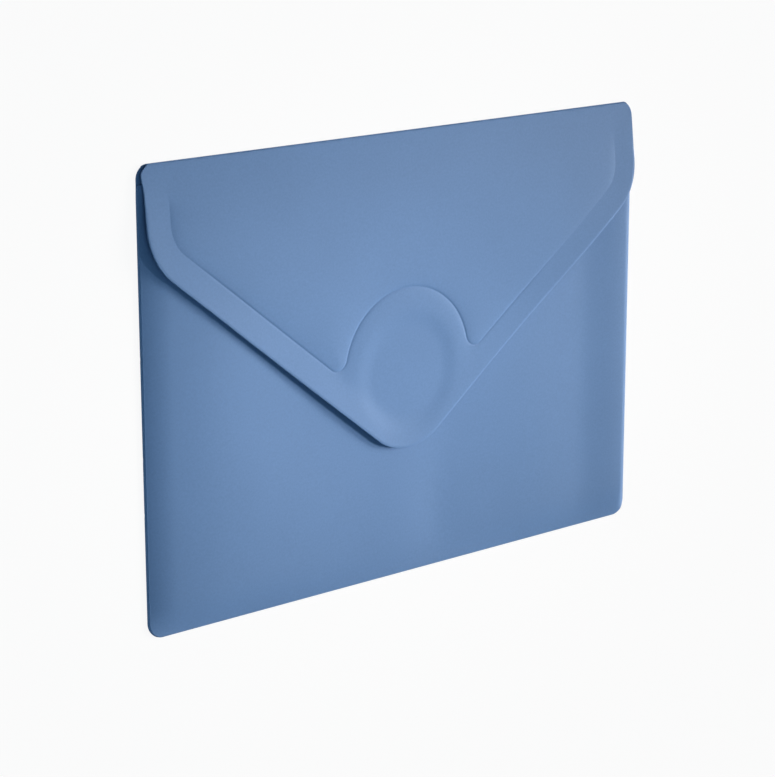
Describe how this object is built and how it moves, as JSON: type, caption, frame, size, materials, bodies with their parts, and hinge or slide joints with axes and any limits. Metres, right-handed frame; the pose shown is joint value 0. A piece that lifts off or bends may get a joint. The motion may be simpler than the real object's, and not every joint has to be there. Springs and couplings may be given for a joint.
{
  "type": "plastic document wallet",
  "caption": "Flat plastic document wallet: a shallow welded pocket under a pointed flap with a pressed border groove and a round dish over its hidden hook-and-loop closure.",
  "frame": {"origin": "middle of the closed wallet's outline, on the surface it lies on", "axes": "+X along the width, +Y towards the fold that the flap turns about, +Z out of the wallet's face"},
  "size_m": [0.335, 0.242, 0.0102],
  "materials": {
    "blue_sheet": "fine satin grain",
    "loop_pile": "brushed loop pile",
    "hook_nylon": "moulded hooks"
  },
  "bodies": {
    "pocket": {"pocket": "blue_sheet", "loop_dot": "loop_pile"},
    "flap": {"flap": "blue_sheet", "hook_dot": "hook_nylon"}
  },
  "joints": [
    {"name": "flap_hinge", "type": "hinge", "parent": "pocket", "child": "flap", "pos_m": [0, 0.1198, 0.0012], "axis": [-1, 0, 0], "range_deg": [0, 165]}
  ]
}
